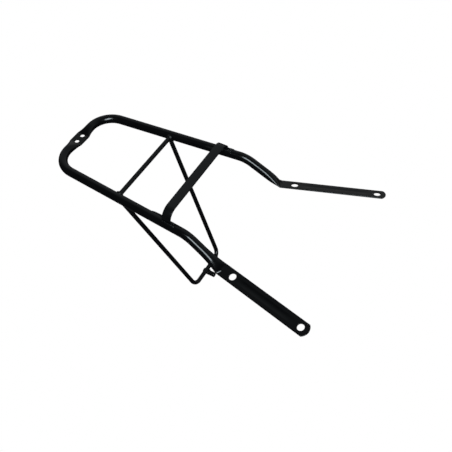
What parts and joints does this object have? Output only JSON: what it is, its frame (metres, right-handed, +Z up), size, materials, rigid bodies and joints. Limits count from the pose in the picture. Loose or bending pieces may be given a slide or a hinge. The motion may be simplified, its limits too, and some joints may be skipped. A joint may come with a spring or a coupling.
{
  "type": "motorcycle luggage rack",
  "caption": "Welded black steel motorcycle luggage rack: tapered tube loop with pressed mounting legs, raised strap, cross rod and a stay that hangs below.",
  "frame": {"origin": "midway between the two rear holes, on the top face of the pressed flat that they go through", "axes": "+X from the rear bar towards the mounting legs, +Y towards the left leg, +Z up, out of the rear flat's top face"},
  "size_m": [0.5428, 0.3306, 0.27],
  "materials": {
    "black_paint": "gloss"
  },
  "bodies": {
    "root": {"main_tube": "black_paint", "cross_rod": "black_paint", "hoop_strap": "black_paint", "stay_rod": "black_paint", "stay_stub": "black_paint", "joint_welds": "black_paint", "strap_welds": "black_paint", "stub_weld": "black_paint"}
  },
  "joints": []
}
